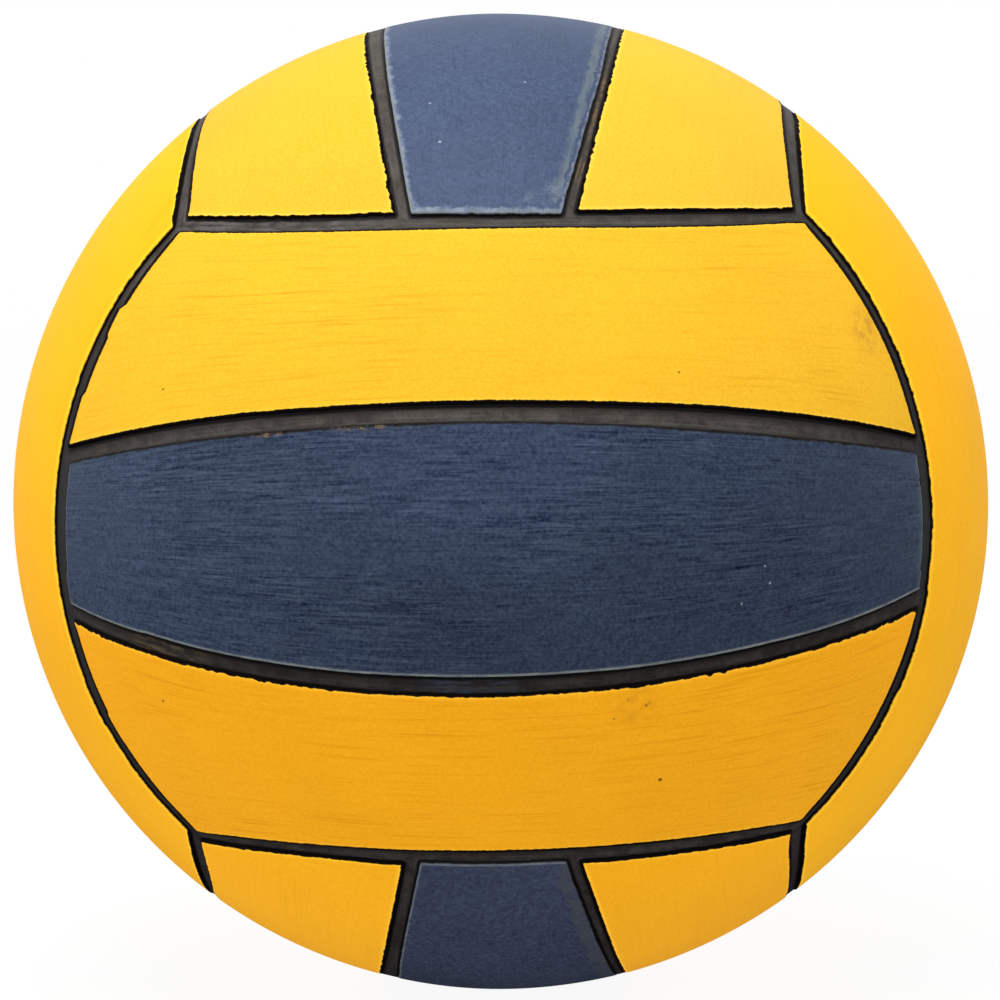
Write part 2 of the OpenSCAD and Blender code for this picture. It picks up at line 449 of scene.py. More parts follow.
def zip_by_angle(inner, a_in, outer, a_out):
    """Triangles between two closed rings round the same middle, each given with its angles.

    The faces look towards the viewer who sees both rings turn clockwise.
    """
    i, j = inner[np.argsort(a_in)], outer[np.argsort(a_out)]
    a, b = np.sort(a_in), np.sort(a_out)
    a, b = np.append(a, a[0] + 2 * math.pi), np.append(b, b[0] + 2 * math.pi)
    p = q = 0
    out = []
    while p < len(i) or q < len(j):
        if q >= len(j) or (p < len(i) and a[p + 1] <= b[q + 1]):
            out.append((i[p % len(i)], i[(p + 1) % len(i)], j[q % len(j)]))
            p += 1
        else:
            out.append((i[p % len(i)], j[(q + 1) % len(j)], j[q % len(j)]))
            q += 1
    return np.array(out)


# ---------------------------------------------------------------- channels

def seams_near(u):
    """Distance in mm from the middle of the nearest channel, position along it, and how far above its middle."""
    best = np.full(len(u), 1e9)
    along = np.zeros(len(u))
    lean = np.zeros(len(u))
    turned = {g: u @ TURN[g] for g in TURN}
    for g, w in turned.items():
        number, to_up = 2000 * list(TURN).index(g), TURN[g][2]
        ang = np.arccos(np.clip(w[:, 2], -1, 1))
        off = R * (ang - GROUP)
        out = np.hypot(w[:, 0], w[:, 1]) + 1e-9
        rise = (to_up[0] * w[:, 0] + to_up[1] * w[:, 1]) / out * np.cos(ang) - to_up[2] * np.sin(ang)
        t = R * math.sin(GROUP) * np.arctan2(w[:, 1], np.abs(w[:, 0])) + np.where(w[:, 0] > 0, 900, 300)
        d = np.where(np.abs(w[:, 0]) >= np.abs(w[:, 1]) - 0.01, np.abs(off), 1e9)
        m = d < best
        best, along, lean = np.where(m, d, best), np.where(m, t + number, along), np.where(m, off * rise, lean)
        for s in (-1, 1):
            ct, st = math.cos(TILT[g]), math.sin(TILT[g])
            off = R * np.arcsin(np.clip(s * w[:, 1] * ct - w[:, 2] * st, -1, 1))
            d = np.where((ang < GROUP) & (w[:, 2] > 0), np.abs(off), 1e9)
            t = R * np.arctan2(w[:, 0], s * w[:, 1] * st + w[:, 2] * ct) + 1400 + 300 * s
            rise = to_up[1] * s * ct - to_up[2] * st
            m = d < best
            best, along, lean = np.where(m, d, best), np.where(m, t + number, along), np.where(m, off * rise, lean)
    return best, along, lean


def refined_sphere(size_of, rounds):
    """A closed ball of triangles, split until each edge is shorter than size_of says at its middle."""
    g = (1 + 5 ** 0.5) / 2
    p = np.array([(-1, g, 0), (1, g, 0), (-1, -g, 0), (1, -g, 0), (0, -1, g), (0, 1, g), (0, -1, -g), (0, 1, -g),
                  (g, 0, -1), (g, 0, 1), (-g, 0, -1), (-g, 0, 1)], float)
    p /= np.linalg.norm(p, axis=1)[:, None]
    t = np.array([(0, 11, 5), (0, 5, 1), (0, 1, 7), (0, 7, 10), (0, 10, 11), (1, 5, 9), (5, 11, 4), (11, 10, 2),
                  (10, 7, 6), (7, 1, 8), (3, 9, 4), (3, 4, 2), (3, 2, 6), (3, 6, 8), (3, 8, 9), (4, 9, 5),
                  (2, 4, 11), (6, 2, 10), (8, 6, 7), (9, 8, 1)])
    for k in range(rounds):
        e = np.sort(np.stack([t, np.roll(t, -1, 1)], -1).reshape(-1, 2), 1)
        keys, back = np.unique(e[:, 0].astype(np.int64) * len(p) + e[:, 1], return_inverse=True)
        ends = np.stack([keys // len(p), keys % len(p)], 1)
        mid = p[ends].mean(1)
        mid /= np.linalg.norm(mid, axis=1)[:, None]
        long = np.linalg.norm(p[ends[:, 0]] - p[ends[:, 1]], axis=1) * BASE_R
        split = long > (size_of(mid) if k > 3 else 0)
        if not split.any():
            break
        back = back.reshape(-1, 3)
        # a triangle with two split edges gets its third split too, if that is its longest
        for _ in range(6):
            s = split[back]
            longest = np.argmax(long[back], 1)
            need = s.any(1) & ~s[np.arange(len(t)), longest]
            if not need.any():
                break
            split[back[need, longest[need]]] = True
        new = np.full(len(keys), -1)
        new[split] = len(p) + np.arange(split.sum())
        p = np.concatenate([p, mid[split]])
        m = new[back]
        s = m >= 0
        n = s.sum(1)
        out = [t[n == 0]]
        f, c = t[n == 3], m[n == 3]
        out += [np.stack([f[:, 0], c[:, 0], c[:, 2]], 1), np.stack([c[:, 0], f[:, 1], c[:, 1]], 1),
                np.stack([c[:, 2], c[:, 1], f[:, 2]], 1), c]
        for k2 in range(3):
            sel = (n == 1) & s[:, k2]
            f, c = np.roll(t[sel], -k2, 1), m[sel, k2]
            out += [np.stack([f[:, 0], c, f[:, 2]], 1), np.stack([c, f[:, 1], f[:, 2]], 1)]
            sel = (n == 2) & ~s[:, k2]
            f, c = np.roll(t[sel], -k2, 1), np.roll(m[sel], -k2, 1)
            # edge 0 is whole, edges 1 and 2 are split at c1 and c2
            out += [np.stack([c[:, 1], f[:, 2], c[:, 2]], 1), np.stack([f[:, 0], f[:, 1], c[:, 1]], 1),
                    np.stack([f[:, 0], c[:, 1], c[:, 2]], 1)]
        t = np.concatenate(out)
    return p, t


def pierce(p, t, radius, at_r):
    """Opens a round hole along +X in a refined ball. Returns triangles and the hole's ring, by angle."""
    off = np.hypot(p[:, 1], p[:, 2]) * at_r
    inside = (off < radius) & (p[:, 0] > 0)
    t = t[~inside[t].any(1)]
    e = np.stack([t, np.roll(t, -1, 1)], -1).reshape(-1, 2)
    key = e[:, 0].astype(np.int64) * len(p) + e[:, 1]
    other = e[:, 1].astype(np.int64) * len(p) + e[:, 0]
    edge = e[~np.isin(key, other)]
    edge = edge[(p[edge[:, 0], 0] > 0.9)]
    after = dict(zip(edge[:, 0].tolist(), edge[:, 1].tolist()))
    ring = [int(edge[0, 0])]
    while after[ring[-1]] != ring[0] and len(ring) <= len(after):
        ring.append(after[ring[-1]])
    ring = np.array(ring)
    a = np.arctan2(p[ring, 2], p[ring, 1])
    s = radius / at_r
    p = p.copy()
    p[ring] = np.stack([np.full(len(ring), math.sqrt(1 - s * s)), s * np.cos(a), s * np.sin(a)], 1)
    return p, t, ring, a


def walls_near(u, outlines):
    """Distance in mm from the nearest panel's side, how far above the channel's middle that is, how level
    the channel lies, and how far the place is on the channel's near side as the photograph sees it."""
    first, second = np.full(len(u), -99.0), np.full(len(u), -99.0)
    rise, near_side = np.zeros(len(u)), np.zeros(len(u))
    for turn, side, o in outlines:
        w = u @ turn * np.array([1, -1 if side < 0 else 1, 1.0])
        near = w[:, 2] > 0.45
        d, g = o.at(w[near])
        g = g * np.array([1, -1 if side < 0 else 1, 1.0])
        up, to_view = g @ turn[2], g @ (VIEW @ turn)
        d0, d1, r0, n0 = first[near], second[near], rise[near], near_side[near]
        best = d > d0
        second[near] = np.where(best, d0, np.maximum(d1, d))
        first[near] = np.where(best, d, d0)
        rise[near] = np.where(best, up, r0)
        near_side[near] = np.where(best, to_view, n0)
    off = np.clip((first - second) / 2, 0, 2.5)
    return -first, rise * off, np.abs(rise), near_side * np.clip(off, 0, 1)


def channel_mesh(outlines):
    """The black layer: a shell, finer in the channels, with the slight waves of a moulding."""
    hole = 5.55
    fine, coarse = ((0.55, 5.0))

    def size(u):
        d = seams_near(u)[0]
        rim = np.abs(np.hypot(u[:, 1], u[:, 2]) * BASE_R - hole)
        rim = np.where(u[:, 0] > 0, rim, 1e3)
        return np.clip(fine + 1.2 * np.maximum(np.minimum(d - 2.7, 0.7 * rim), 0), fine, coarse)

    p, t = refined_sphere(size, 15)
    p, t, ring, a = pierce(p, t, hole, BASE_R)
    d, along, _ = seams_near(p)
    gap, lean, level, near_side = np.full(len(p), -1.0), np.zeros(len(p)), np.ones(len(p)), np.zeros(len(p))
    c = d < 5
    gap[c], lean[c], level[c], near_side[c] = walls_near(p[c], outlines)
    h = 0.05 * wander(along, 6.0, 5) + 0.03 * wander(along, 2.2, 6) + 0.02 * wander(along + 90 * d, 1.4, 8)
    # the channels run out to almost nothing where they cross the rim seen in the photograph
    rim = np.exp(-((p @ VIEW - 1 / 6.081) / 0.08) ** 2) * np.clip((3.4 - d) / 0.8, 0, 1)
    h = np.where(d < 2.6, h, 0.0) - 0.03
    h = h * (1 - rim) + rim * np.where(np.abs(p[:, 0]) < 0.5, 0.6, 0.38)
    h[ring] = -0.03

    def size_in(u):
        rim = np.abs(np.hypot(u[:, 1], u[:, 2]) * BASE_R - hole)
        return np.clip(1.0 + 0.8 * np.where(u[:, 0] > 0, rim, 1e3), 1.0, 7.0)

    q, s = refined_sphere(size_in, 12)
    q, s, ring2, a2 = pierce(q, s, hole, 108.45)
    n = len(p)
    wall = zip_by_angle(ring + 0, a, ring2 + n, a2)
    points = np.concatenate([p * (BASE_R + h)[:, None], q * 108.45])
    tris = np.concatenate([t, s[:, ::-1] + n, wall])
    pad = np.zeros(len(q))
    return make_mesh("Channel_layer", points, np.zeros((0, 4), int), tris,
                     {"mid": np.concatenate([d, pad + 9]), "run": np.concatenate([along, pad]),
                      "lean": np.concatenate([lean, pad]), "gap": np.concatenate([gap, pad - 1]),
                      "level": np.concatenate([level, pad + 1]), "near": np.concatenate([near_side, pad])})


# ---------------------------------------------------------------- turned pieces of the valve

def turned(name, profile, closed, segments=120):
    """A body of revolution about +X from (radius, x) points that run so that the outside is on their left."""
    prof = np.array(profile, float)
    n = len(prof)
    ang = np.arange(segments) * 2 * math.pi / segments
    pts, index = [], []
    for r, x in prof:
        if r < 1e-6:
            index.append(np.full(segments, len(pts)))
            pts.append((x, 0.0, 0.0))
        else:
            index.append(np.arange(len(pts), len(pts) + segments))
            pts += [(x, r * math.cos(a), r * math.sin(a)) for a in ang]
    quads, tris = [], []
    for k in range(n if closed else n - 1):
        a, b = index[k], index[(k + 1) % n]
        a2, b2 = np.roll(a, -1), np.roll(b, -1)
        if a[0] == a[1]:
            tris.append(np.stack([a, b2, b], 1))
        elif b[0] == b[1]:
            tris.append(np.stack([a, a2, b], 1))
        else:
            quads.append(np.stack([a, a2, b2, b], 1))
    pts = np.array(pts)
    return make_mesh(name, pts, np.concatenate(quads), np.concatenate(tris) if tris else np.zeros((0, 3), int),
                     {"run": pts[:, 0], "row": np.hypot(pts[:, 1], pts[:, 2])})


def arc_corner(p0, p1, p2, r, n=5):
    """Points that round the corner p1 between p0 and p2 to radius r."""
    p0, p1, p2 = (np.array(p, float) for p in (p0, p1, p2))
    a, b = (p0 - p1) / np.linalg.norm(p0 - p1), (p2 - p1) / np.linalg.norm(p2 - p1)
    half = math.acos(max(-1, min(1, float(a @ b)))) / 2
    cut = r / math.tan(half)
    centre = p1 + (a + b) / np.linalg.norm(a + b) * r / math.sin(half)
    s, e = p1 + a * cut - centre, p1 + b * cut - centre
    t0 = math.atan2(s[1], s[0])
    turn = (math.atan2(e[1], e[0]) - t0 + math.pi) % (2 * math.pi) - math.pi
    return [tuple(centre + r * np.array([math.cos(t0 + turn * k / n), math.sin(t0 + turn * k / n)])) for k in range(n + 1)]


def rounded_profile(points, closed):
    """points are (radius, x, rounding); straight runs are kept and corners rounded."""
    out = []
    n = len(points)
    for k, (r, x, f) in enumerate(points):
        if f and (closed or 0 < k < n - 1):
            out += arc_corner(points[k - 1][:2], (r, x), points[(k + 1) % n][:2], f)
        else:
            out.append((r, x))
    return out


def on_ball(radius, r):
    return math.sqrt(radius * radius - r * r)


# ---------------------------------------------------------------- materials

class Paint:
    """A node material, built by hand."""

    def __init__(self, name):
        self.mat = bpy.data.materials.new(name)
        self.mat.use_nodes = True
        self.tree = self.mat.node_tree
        self.tree.nodes.clear()

    def node(self, kind, ins=None, **props):
        n = self.tree.nodes.new(kind)
        for k, v in props.items():
            setattr(n, k, v)
        for k, v in (ins or {}).items():
            if isinstance(v, bpy.types.NodeSocket):
                self.tree.links.new(v, n.inputs[k])
            else:
                n.inputs[k].default_value = v
        return n

    def math(self, op, a, b=0.0, clamp=False):
        return self.node("ShaderNodeMath", {0: a, 1: b}, operation=op, use_clamp=clamp).outputs[0]

    def times(self, a, b):
        return self.math("MULTIPLY", a, b)

    def plus(self, a, b):
        return self.math("ADD", a, b)

    def step(self, x, lo, hi, to=(0.0, 1.0)):
        return self.node("ShaderNodeMapRange", {"Value": x, "From Min": lo, "From Max": hi, "To Min": to[0], "To Max": to[1]},
                         interpolation_type="SMOOTHSTEP", clamp=True).outputs[0]

    def span(self, x, lo, hi, to=(0.0, 1.0)):
        return self.node("ShaderNodeMapRange", {"Value": x, "From Min": lo, "From Max": hi, "To Min": to[0], "To Max": to[1]},
                         clamp=True).outputs[0]

    def mix(self, f, a, b, blend="MIX"):
        n = self.node("ShaderNodeMix", data_type="RGBA", blend_type=blend)
        for i, v in ((0, f), (6, a), (7, b)):
            if isinstance(v, bpy.types.NodeSocket):
                self.tree.links.new(v, n.inputs[i])
            else:
                n.inputs[i].default_value = v if i == 0 else (*v, 1.0)
        return n.outputs[2]

    def attr(self, name):
        return self.node("ShaderNodeAttribute", attribute_name=name).outputs["Fac"]

    def place(self):
        """Position on the piece in mm."""
        co = self.node("ShaderNodeTexCoord").outputs["Object"]
        return self.node("ShaderNodeVectorMath", {0: co, 1: (1000.0, 1000.0, 1000.0)}, operation="MULTIPLY").outputs[0]

    def vector(self, x, y, z=0.0):
        return self.node("ShaderNodeCombineXYZ", {0: x, 1: y, 2: z}).outputs[0]

    def stretch(self, v, s, shift=(0.0, 0.0, 0.0)):
        n = self.node("ShaderNodeVectorMath", {0: v, 1: s, 2: shift}, operation="MULTIPLY_ADD")
        return n.outputs[0]

    def askew(self, v):
        """Turned, so that no noise lines up with the ball's axes."""
        return self.node("ShaderNodeVectorRotate", {"Vector": v, "Rotation": (0.7, 0.5, 0.9)}, rotation_type="EULER_XYZ").outputs[0]

    def noise(self, v, scale=1.0, detail=2.0, rough=0.5, warp=0.0):
        return self.node("ShaderNodeTexNoise", {"Vector": v, "Scale": scale, "Detail": detail, "Roughness": rough,
                                                "Distortion": warp}).outputs["Fac"]

    def scale_colour(self, c, f):
        """Colour times a factor socket."""
        return self.node("ShaderNodeVectorMath", {0: c, "Scale": f}, operation="SCALE").outputs[0]

    def spot(self, place, centre, radius, soft=0.4):
        """1 inside a small round mark, 0 outside."""
        d = self.node("ShaderNodeVectorMath", {0: place, 1: centre}, operation="DISTANCE").outputs["Value"]
        return self.step(d, radius * (1 + soft), radius * (1 - soft))

    def done(self, colour, rough, height=None, bump_mm=0.02, level=0.5, sheen=0.0, strength=1.0):
        shader = self.node("ShaderNodeBsdfPrincipled")
        shader.inputs["Specular IOR Level"].default_value = level
        shader.inputs["Sheen Weight"].default_value = sheen
        self.tree.links.new(colour, shader.inputs["Base Color"])
        if isinstance(rough, bpy.types.NodeSocket):
            self.tree.links.new(rough, shader.inputs["Roughness"])
        else:
            shader.inputs["Roughness"].default_value = rough
        if height is not None:
            b = self.node("ShaderNodeBump", {"Height": height, "Strength": strength, "Distance": bump_mm * MM})
            self.tree.links.new(b.outputs[0], shader.inputs["Normal"])
        out = self.node("ShaderNodeOutputMaterial")
        self.tree.links.new(shader.outputs[0], out.inputs[0])
        return self.mat


def yellow_rubber(name, seed, base=(0.89, 0.39, 0.012), streak=0.4, rim_highlight=1.0, level=0.02, spots=(), smears=(), brushed=(),
                  groove=(0.80, 0.66, 0.4)):
    p = Paint(name)
    run, row, rim = p.attr("run"), p.attr("row"), p.attr("rim")
    at = p.place()
    skew = p.askew(at)
    grain = p.vector(run, row, float(seed) * 13.7)
    # brushed lines along the panel, thin and darker, in patches
    thin = p.noise(p.stretch(grain, (0.05, 1.9, 1.0)), 1.0, 2.0, 0.5, 0.3)
    hair = p.noise(p.stretch(grain, (0.11, 3.6, 1.0), (4.0, 9.0, 3.0)), 1.0, 2.0, 0.5, 0.3)
    patch = p.times(p.step(p.noise(p.stretch(grain, (0.03, 0.07, 1.0), (2.0, 1.0, 7.0)), 1.0, 2.0, 0.6), 0.38, 0.66), 0.7)
    lines = p.plus(p.times(p.step(thin, 0.53, 0.70), 0.6), p.times(p.step(hair, 0.50, 0.75), 0.4))
    patch = p.plus(patch, 0.3)
    for centre, radius, gain in brushed:
        patch = p.plus(patch, p.times(p.spot(at, centre, radius, 0.6), gain))
    lines = p.times(p.times(lines, patch), float(streak))
    fine = p.noise(p.stretch(skew, (1.7, 1.7, 1.7)), 1.0, 3.0, 0.65)
    broad = p.noise(p.stretch(skew, (0.035, 0.035, 0.035), (seed * 1.0, 0.0, 0.0)), 1.0, 2.0, 0.5)
    tone = p.span(broad, 0.3, 0.7, (0.975, 1.025))
    dull = (base[0] * 0.95, base[1] * 0.92, base[2] * 0.6)
    fresh = (base[0] * 1.05, base[1] * 1.08, base[2] * 1.4)
    colour = p.mix(p.span(fine, 0.3, 0.7), dull, fresh)
    colour = p.mix(lines, colour, tuple(c * g for c, g in zip(base, groove)))
    colour = p.scale_colour(colour, tone)
    # painted highlight: a lighter line along the trimmed edge, where the rounded rim would catch the light
    ragged = p.plus(rim, p.span(p.noise(p.stretch(skew, (0.9, 0.9, 0.9)), 1.0, 2.0, 0.6), 0.2, 0.8, (-0.25, 0.25)))
    light = p.plus(p.times(p.step(ragged, 1.3, 0.6), 0.4 * rim_highlight), p.times(p.step(ragged, 0.8, 0.4), 0.6 * rim_highlight))
    colour = p.mix(light, colour, (min(base[0] * 1.16, 0.99), base[1] * 1.30, base[2] * 1.6 + 0.01))
    # painted shade: the wall down to the channel is painted near-black, a dark outline along the rim
    edge = p.plus(rim, p.span(p.noise(p.stretch(skew, (1.3, 1.3, 1.3)), 1.0, 2.0, 0.6), 0.25, 0.75, (-0.1, 0.1)))
    wall = p.step(p.math("SUBTRACT", edge, p.attr("wall_shade")), 0.12, -0.08)
    colour = p.mix(wall, colour, (0.0045, 0.0032, 0.0028))
    for centre, radius, dark in spots:
        s = p.times(p.spot(at, centre, radius), dark)
        colour = p.mix(s, colour, (0.12, 0.055, 0.012))
    for centre, radius, dark in smears:
        worn = p.step(p.noise(p.stretch(skew, (0.4, 0.4, 0.4)), 1.0, 4.0, 0.65), 0.32, 0.72)
        s = p.times(p.times(p.spot(at, centre, radius, 0.9), worn), p.times(p.math("SUBTRACT", 1.0, wall), dark))
        colour = p.mix(s, colour, (base[0] * 0.62, base[1] * 0.55, base[2] * 1.2))
    rough = p.plus(p.span(fine, 0.3, 0.7, (0.5, 0.6)), p.times(lines, 0.1))
    height = p.plus(p.times(thin, -0.8), p.plus(p.times(hair, -0.4), p.times(fine, 0.35)))
    return p.done(colour, rough, height, 0.018, level)


def blue_rubber(name, seed, base=(0.024, 0.040, 0.073), lines_w=1.0, dusty=(0.10, 0.13, 0.20), edge_light=0.5,
                line=(0.24, 0.27, 0.29), level=0.12, spots=(), residue=(), stripes=(), brushed=(), paler=(),
                dusted=(), torn=0.7, soft=0.3, wide=0.55, grains=(1.35, 0.75), depth=1.0):
    p = Paint(name)
    run, row, rim, band = p.attr("run"), p.attr("row"), p.attr("rim"), p.attr("band")
    at = p.place()
    skew = p.askew(at)
    grain = p.vector(run, row, float(seed) * 17.3)
    thin = p.noise(p.stretch(grain, (0.085, 1.9, 1.0)), 1.0, 2.0, 0.5, 0.45)
    hair = p.noise(p.stretch(grain, (0.2, 3.4, 1.0), (4.0, 9.0, 3.0)), 1.0, 2.0, 0.5, 0.4)
    patch = p.step(p.noise(p.stretch(grain, (0.03, 0.08, 1.0), (2.0, 1.0, 7.0)), 1.0, 2.0, 0.6), 0.35, 0.66)
    grit = p.noise(p.stretch(skew, (grains[0],) * 3), 1.0, 4.0, grains[1])
    coarse = p.noise(p.stretch(skew, (0.5, 0.5, 0.5), (0.0, seed * 1.0, 0.0)), 1.0, 2.0, 0.6)
    broad = p.noise(p.stretch(skew, (0.05, 0.05, 0.05), (seed * 1.0, 0.0, 0.0)), 1.0, 2.0, 0.5)
    tone = p.plus(p.span(broad, 0.3, 0.7, (0.94, 1.06)), p.span(coarse, 0.3, 0.7, (-0.08, 0.08)))
    patch = p.plus(patch, 0.3)
    for centre, radius, gain in brushed:
        patch = p.plus(patch, p.times(p.spot(at, centre, radius, 0.6), gain))
    for centre, radius, gain in paler:
        tone = p.plus(tone, p.times(p.spot(at, centre, radius, 0.8), gain))
    # grains of dull and pale rubber, greyer than the rubber between them
    deep = tuple(c - base[2] * g * depth for c, g in zip(base, (0.17, 0.24, 0.36)))
    pale = tuple(c + base[2] * g * depth for c, g in zip(base, (0.19, 0.26, 0.36)))
    streaks = p.plus(p.span(thin, 0.32, 0.68, (-0.18, 0.18)), p.span(hair, 0.32, 0.68, (-0.20, 0.20)))
    streaks = p.times(p.times(streaks, patch), base[2] * lines_w)
    colour = p.scale_colour(p.mix(p.span(grit, 0.32, 0.68), deep, pale), tone)
    grey = p.vector(p.times(streaks, 0.6), p.times(streaks, 0.75), streaks)
    colour = p.node("ShaderNodeVectorMath", {0: colour, 1: grey}, operation="ADD").outputs[0]
    # the border that the buffing missed, dustier and uneven
    ragged = p.plus(rim, p.span(p.noise(p.stretch(skew, (0.55, 0.55, 0.55)), 1.0, 4.0, 0.65), 0.2, 0.8, (-torn, torn)))
    edge = p.times(p.step(p.math("SUBTRACT", band, ragged), 0.18 - soft, 0.18 + 0.4 * soft), float(edge_light))
    edge = p.times(edge, p.span(p.noise(p.stretch(skew, (0.25, 0.25, 0.25)), 1.0, 2.0, 0.5), 0.3, 0.6, (0.35, 1.0)))
    edge = p.times(edge, p.span(hair, 0.35, 0.62, (0.6, 1.0)))
    colour = p.mix(edge, colour, dusty)
    for centre, radius, amount in dusted:
        some = p.step(p.noise(p.stretch(skew, (0.5, 0.5, 0.5), (5.0, 0.0, 0.0)), 1.0, 4.0, 0.7), 0.40, 0.62)
        colour = p.mix(p.times(p.times(p.spot(at, centre, radius, 0.8), some), amount), colour, dusty)
    # bands beside one seam, where rubber of other colours was smeared along it
    for start, end, tint, amount in stripes:
        there = p.times(p.step(ragged, start - 0.2, start + 0.25), p.step(ragged, end + 0.4, end - 0.4))
        patchy = p.span(p.noise(p.stretch(grain, (0.10, 0.6, 1.0), (1.0, start, 5.0)), 1.0, 3.0, 0.6), 0.35, 0.6, (0.25, 1.0))
        there = p.times(p.times(there, patchy), p.times(p.step(p.attr("beside"), 0.55, 0.85), amount))
        colour = p.mix(there, colour, tint)
    # painted highlight: a light line on the rounded rim; painted shade: the wall below it, near-black
    broken = p.span(p.noise(p.stretch(skew, (0.35, 0.35, 0.35), (3.0, 0.0, 0.0)), 1.0, 3.0, 0.6), 0.3, 0.6, (0.4, 1.0))
    colour = p.mix(p.times(p.times(p.step(rim, wide, 0.35), p.attr("line")), broken), colour, line)
    edge = p.plus(rim, p.span(p.noise(p.stretch(skew, (1.3, 1.3, 1.3)), 1.0, 2.0, 0.6), 0.25, 0.75, (-0.08, 0.08)))
    wall = p.step(p.math("SUBTRACT", edge, p.attr("wall_shade")), 0.02, -0.3)
    colour = p.mix(wall, colour, (0.006, 0.006, 0.007))
    for centre, radius, light in spots:
        s = p.times(p.spot(at, centre, radius), light)
        colour = p.mix(s, colour, (0.30, 0.33, 0.38))
    for centre, radius, amount in residue:
        left = p.step(p.noise(p.stretch(skew, (0.8, 0.8, 0.8)), 1.0, 4.0, 0.7), 0.48, 0.58)
        s = p.times(p.times(p.times(p.spot(at, centre, radius, 0.6), left), p.step(rim, 1.1, 0.5)), amount)
        colour = p.mix(s, colour, (0.13, 0.085, 0.042))
    rough = p.span(grit, 0.25, 0.75, (0.46, 0.60))
    height = p.plus(p.times(thin, 0.7), p.plus(p.times(hair, 0.4), p.times(grit, 0.6)))
    return p.done(colour, rough, height, 0.02, level)


# thin traces of rubber left in a channel: middle of the stretch and its reach, in mm
TRACES = [((20.9, -62.6, 88.0), 12.0), ((18.8, -78.9, 74.3), 5.0)]
# browner, dusty stretches of a channel
DUSTY = [((-65.6, -85.6, -22.4), 9.0, 0.9, (0.115, 0.080, 0.046)), ((-3.4, -107.0, -24.6), 9.0, 0.9, (0.034, 0.046, 0.078)), ((-78.0, -76.0, 8.0), 12.0, 0.4, (0.10, 0.075, 0.05)),
         ((-46.0, -78.0, 62.0), 30.0, 0.75, (0.115, 0.100, 0.098))]


def channel_rubber():
    p = Paint("channel_rubber")
    mid, run, lean = p.attr("mid"), p.attr("run"), p.attr("lean")
    at = p.place()
    skew = p.askew(at)
    lane = p.vector(run, mid, 0.0)
    streak = p.noise(p.stretch(lane, (0.05, 1.8, 1.0)), 1.0, 3.0, 0.6)
    mottle = p.noise(p.stretch(skew, (0.35, 0.35, 0.35)), 1.0, 3.0, 0.6, 0.4)
    fine = p.noise(p.stretch(skew, (2.4, 2.4, 2.4)), 1.0, 2.0, 0.6)
    xyz = p.node("ShaderNodeSeparateXYZ", {0: at}).outputs
    # the channels are lighter towards the top of the ball; in each channel the upper side, which faces down, gets
    # painted shade
    towards_top = p.step(p.math("SUBTRACT", xyz[2], p.times(p.math("ABSOLUTE", xyz[0]), 0.5)), -10.0, 80.0)
    under = p.step(lean, -0.5, 1.3)
    colour = p.mix(p.step(mottle, 0.35, 0.65), (0.020, 0.017, 0.016), (0.036, 0.031, 0.029))
    light = p.mix(p.step(mottle, 0.35, 0.65), (0.044, 0.037, 0.030), (0.066, 0.058, 0.052))
    colour = p.mix(towards_top, colour, light)
    pale = p.mix(towards_top, (0.050, 0.046, 0.040), (0.115, 0.105, 0.088))
    colour = p.mix(p.times(p.step(streak, 0.46, 0.72), 0.6), colour, pale)
    colour = p.scale_colour(colour, p.span(fine, 0.3, 0.7, (0.8, 1.2)))
    # painted shade: the upper side of each channel darkened, as if shaded by the wall above it
    colour = p.mix(p.times(under, 0.72), colour, (0.012, 0.009, 0.007))
    close = p.math("SUBTRACT", 2.0, p.attr("gap"))
    for centre, radius, amount, tint in DUSTY:
        kept = p.step(p.noise(p.stretch(lane, (0.16, 0.8, 1.0)), 1.0, 4.0, 0.65), 0.42, 0.62)
        there = p.times(p.times(p.spot(at, centre, radius, 0.5), p.step(close, 0.2, 0.5)), p.times(kept, amount))
        colour = p.mix(there, colour, tint)
    for centre, radius in TRACES:
        thin = p.times(p.step(close, 1.0, 1.2), p.step(close, 1.65, 1.35))
        kept = p.step(p.noise(p.stretch(lane, (0.35, 0.5, 1.0)), 1.0, 3.0, 0.6), 0.42, 0.55)
        there = p.times(p.times(p.spot(at, centre, radius, 0.3), thin), p.times(kept, p.step(xyz[0], 10.0, 14.0)))
        colour = p.mix(p.times(there, 0.8), colour, (0.16, 0.095, 0.045))
    # the two channels across the front: the upper one lighter, the lower one darker
    front = p.times(p.step(xyz[1], -60.0, -76.0), p.step(p.math("ABSOLUTE", xyz[0]), 80.0, 68.0))
    upper = p.times(p.times(p.step(xyz[2], 2.0, 14.0), p.step(xyz[2], 48.0, 40.0)), 0.6)
    lower = p.times(p.times(p.step(xyz[2], -2.0, -12.0), p.step(xyz[2], -52.0, -42.0)), -0.2)
    colour = p.scale_colour(colour, p.plus(p.times(front, p.plus(upper, lower)), 1.0))
    # painted shade: towards the ball's sides the channel turns a dark bluish grey, the blue a faint painted sheen, and
    # the black of the two walls widens, most on the near side, until it almost meets
    flank = p.times(p.math("SUBTRACT", 1.0, p.attr("level")), p.step(p.math("ABSOLUTE", xyz[0]), 52.0, 74.0))
    colour = p.mix(p.times(flank, p.step(xyz[2], 60.0, 0.0)), colour, (0.019, 0.020, 0.023))
    # painted shade: near-black along the foot of each wall, wider on the channel's upper side
    edge = p.plus(p.plus(close, p.times(lean, 0.2)), p.span(mottle, 0.3, 0.7, (-0.15, 0.15)))
    edge = p.plus(edge, p.times(flank, p.plus(p.times(p.attr("near"), 0.8), 0.1)))
    colour = p.mix(p.times(p.step(edge, 1.1, 1.6), 0.95), colour, (0.004, 0.003, 0.003))
    height = p.plus(p.times(streak, 0.8), p.times(fine, 0.3))
    return p.done(colour, p.span(fine, 0.3, 0.7, (0.5, 0.65)), height, 0.03, 0.07)


